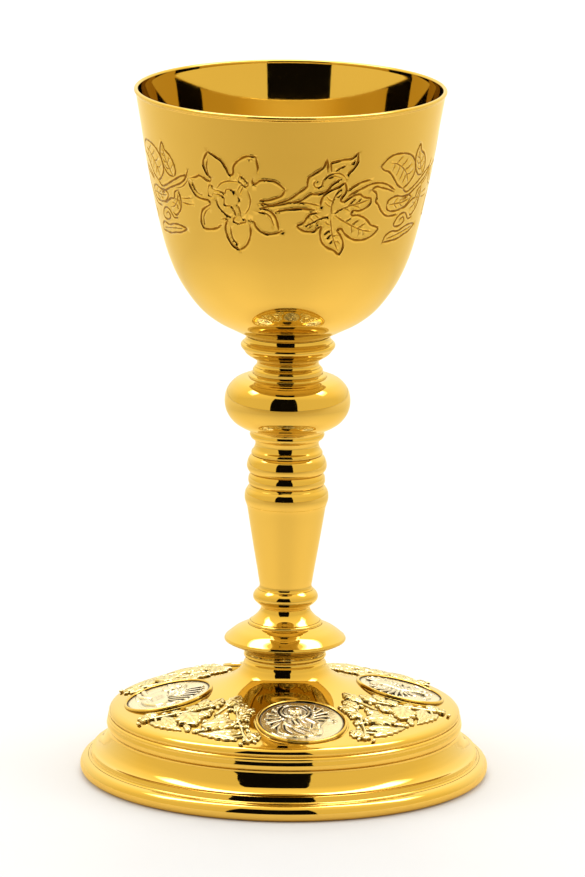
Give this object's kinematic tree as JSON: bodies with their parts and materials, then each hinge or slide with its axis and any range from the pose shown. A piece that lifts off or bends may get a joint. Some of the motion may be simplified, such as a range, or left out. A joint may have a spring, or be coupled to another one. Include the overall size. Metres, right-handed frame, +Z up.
{
  "type": "communion chalice",
  "caption": "Gilt communion chalice: engraved tulip cup on a turned stem with knop, and a domed round foot with silver relief medallions and cast foliage",
  "frame": {"origin": "centre of the foot's underside, on the table", "axes": "+Z up along the stem from foot to lip, front toward -Y, +X to the viewer's right"},
  "size_m": [0.129, 0.129, 0.22],
  "materials": {
    "gilt": "polished gold plate on brass",
    "silver": "silver plate, darkened in the recesses of the relief",
    "steel": "turned steel"
  },
  "bodies": {
    "stem_and_foot": {"rod_lock_nut": "steel", "tie_rod": "steel", "knop_cap": "gilt", "knop": "gilt", "knop_base_ring": "gilt", "ribbed_sleeve": "gilt", "baluster": "gilt", "baluster_ring": "gilt", "lower_knop": "gilt", "foot_neck": "gilt", "foot_dome": "gilt", "foot_skirt": "gilt", "foot_ring": "gilt", "foot_plate": "steel", "medallion_1": "silver", "medallion_2": "silver", "medallion_3": "silver", "medallion_4": "silver", "bezel_1": "gilt", "bezel_2": "gilt", "bezel_3": "gilt", "bezel_4": "gilt", "foliage_1": "gilt", "foliage_2": "gilt", "foliage_3": "gilt", "foliage_4": "gilt", "medallion_studs": "steel", "stud_nuts": "steel"},
    "cup_slip_washer": {"cup_washer": "steel"},
    "cup_unit": {"cup": "gilt", "cup_boss": "gilt", "upper_collar": "gilt"},
    "nut_washer": {"foot_washer": "steel"},
    "nut": {"foot_nut": "steel"}
  },
  "joints": [
    {"name": "cup_rise", "type": "slide", "parent": "stem_and_foot", "child": "cup_slip_washer", "axis": [0, 0, 1], "range_m": [0, 0.0063]},
    {"name": "cup_turn", "type": "hinge", "parent": "cup_slip_washer", "child": "cup_unit", "pos_m": [0, 0, 0.14], "axis": [0, 0, 1], "range_deg": [0, 1800]},
    {"name": "nut_drop", "type": "slide", "parent": "stem_and_foot", "child": "nut_washer", "axis": [0, 0, -1], "range_m": [0, 0.0063]},
    {"name": "nut_turn", "type": "hinge", "parent": "nut_washer", "child": "nut", "pos_m": [0, 0, 0.027], "axis": [0, 0, -1], "range_deg": [0, 1800]}
  ],
  "couplings": [
    {"joint": "cup_rise", "follows": "cup_turn", "m_per_rad": 0.00019894},
    {"joint": "nut_drop", "follows": "nut_turn", "m_per_rad": 0.00019894}
  ]
}
